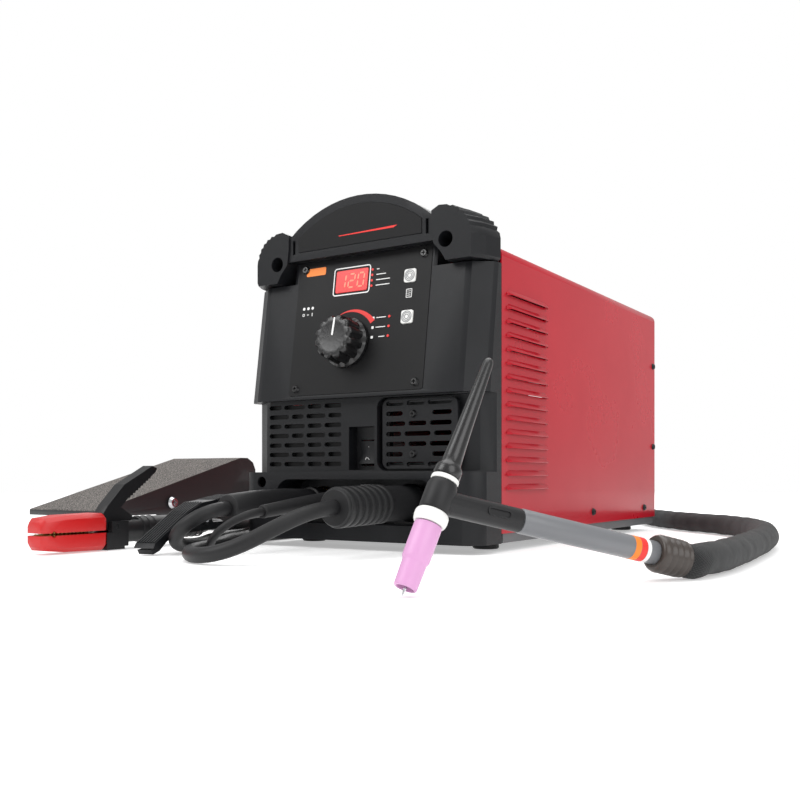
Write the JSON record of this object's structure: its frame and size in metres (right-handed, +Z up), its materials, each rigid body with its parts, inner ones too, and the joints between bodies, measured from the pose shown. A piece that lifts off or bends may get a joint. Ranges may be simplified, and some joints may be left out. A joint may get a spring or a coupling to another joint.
{
  "type": "tig welding machine",
  "caption": "Portable inverter welder with carry brow, digital panel, torch, stick electrode holder, work clamp and foot pedal on their leads.",
  "frame": {"origin": "on the base tray's flat underside, on the machine's middle plane and 205 mm behind the seam between the red cover and the front moulding; the feet stand 8 mm lower", "axes": "+X to the machine's right as its front is seen, +Y from the control panel to the rear panel, +Z up"},
  "size_m": [0.9193, 0.9873, 0.3425],
  "materials": {
    "red_paint": "gloss",
    "grey_steel": "satin",
    "black_moulding": "satin",
    "panel_film": "matt",
    "red_lens": "gloss",
    "knob_plastic": "satin",
    "white_plastic": "satin",
    "black_rubber": "satin",
    "brass": "satin",
    "bright_steel": "bright",
    "aluminium": "satin",
    "green_board": "satin",
    "pink_ceramic": "satin",
    "grey_plastic": "satin",
    "brown_clamp": "satin",
    "woven_cover": "woven",
    "red_insulator": "satin",
    "pedal_paint": "gloss"
  },
  "bodies": {
    "machine": {"base_tray": "grey_steel", "case_cover": "red_paint", "rear_panel": "grey_steel", "cord_gland": "black_rubber", "gas_inlet": "brass", "foot_1": "black_rubber", "foot_2": "black_rubber", "foot_3": "black_rubber", "foot_4": "black_rubber", "front_bezel": "black_moulding", "brow_handle": "black_moulding", "name_plate": "panel_film", "control_panel": "panel_film", "display_window": "red_lens", "control_board": "green_board", "vent_insert": "black_moulding", "work_socket": "brass", "electrode_socket": "brass", "remote_socket": "bright_steel", "work_plug": "black_rubber", "electrode_plug": "black_rubber", "remote_plug": "black_rubber", "remote_plug_ring": "bright_steel", "fan_frame": "black_moulding", "heat_sink": "aluminium", "power_board": "green_board", "torch_head": "black_rubber", "torch_cap_ring": "white_plastic", "torch_gasket": "white_plastic", "tungsten_electrode": "bright_steel", "torch_handle": "grey_plastic", "torch_collar": "brown_clamp", "holder_handle": "black_rubber", "holder_lower_jaw": "red_insulator", "clamp_lower_arm": "black_moulding", "pedal_base": "pedal_paint", "torch_cover": "woven_cover", "torch_cuff": "black_rubber", "torch_coil": "black_rubber", "torch_lead": "black_rubber", "work_lead": "black_rubber", "work_coil": "black_rubber", "clamp_lead": "black_rubber", "pedal_lead": "black_rubber", "pedal_coil": "black_rubber", "pedal_lead_end": "black_rubber", "holder_lead": "black_rubber", "holder_coil": "black_rubber", "holder_plug": "black_rubber"},
    "knob": {"output_knob": "knob_plastic"},
    "page_key": {"page_button": "white_plastic"},
    "mode_key": {"mode_button": "white_plastic"},
    "rocker": {"power_rocker": "black_moulding"},
    "rotor": {"fan_rotor": "black_moulding"},
    "back_cap": {"torch_back_cap": "knob_plastic"},
    "nozzle": {"torch_nozzle": "pink_ceramic"},
    "holder_grip": {"holder_upper_jaw": "red_insulator", "holder_lever": "black_rubber"},
    "clamp_arm": {"clamp_upper_arm": "black_moulding"},
    "pedal": {"pedal_cover": "pedal_paint"}
  },
  "joints": [
    {"name": "knob_turn", "type": "hinge", "parent": "machine", "child": "knob", "pos_m": [-0.011, -0.23929, 0.19149], "axis": [0, -0.9898, 0.1426], "continuous": true},
    {"name": "page_press", "type": "slide", "parent": "machine", "child": "page_key", "axis": [0, 0.9898, -0.1426], "range_m": [0, 0.0008], "stiffness_N_per_m": 300},
    {"name": "mode_press", "type": "slide", "parent": "machine", "child": "mode_key", "axis": [0, 0.9898, -0.1426], "range_m": [0, 0.0008], "stiffness_N_per_m": 300},
    {"name": "power_rock", "type": "hinge", "parent": "machine", "child": "rocker", "pos_m": [0.004, -0.22, 0.085], "axis": [1, 0, 0], "range_deg": [0, 16]},
    {"name": "fan_spin", "type": "hinge", "parent": "machine", "child": "rotor", "pos_m": [0, 0.22, 0.142], "axis": [0, 1, 0], "continuous": true},
    {"name": "cap_turn", "type": "hinge", "parent": "machine", "child": "back_cap", "pos_m": [0.239, -0.494, 0.047], "axis": [0.0961, 0.4807, 0.8716], "continuous": true},
    {"name": "nozzle_turn", "type": "hinge", "parent": "machine", "child": "nozzle", "pos_m": [0.239, -0.494, 0.047], "axis": [0.0961, 0.4807, 0.8716], "continuous": true},
    {"name": "holder_squeeze", "type": "hinge", "parent": "machine", "child": "holder_grip", "pos_m": [-0.198, -0.373, 0.014], "axis": [-1, 0, 0], "range_deg": [0, 12], "stiffness_Nm_per_rad": 5},
    {"name": "clamp_squeeze", "type": "hinge", "parent": "machine", "child": "clamp_arm", "pos_m": [-0.13226, -0.31873, 0.022], "axis": [-0.9703, -0.2419, 0], "range_deg": [0, 13], "stiffness_Nm_per_rad": 5},
    {"name": "pedal_press", "type": "hinge", "parent": "machine", "child": "pedal", "pos_m": [-0.412, -0.147, 0.029], "axis": [-1, 0, 0], "range_deg": [0, 7], "stiffness_Nm_per_rad": 80}
  ]
}
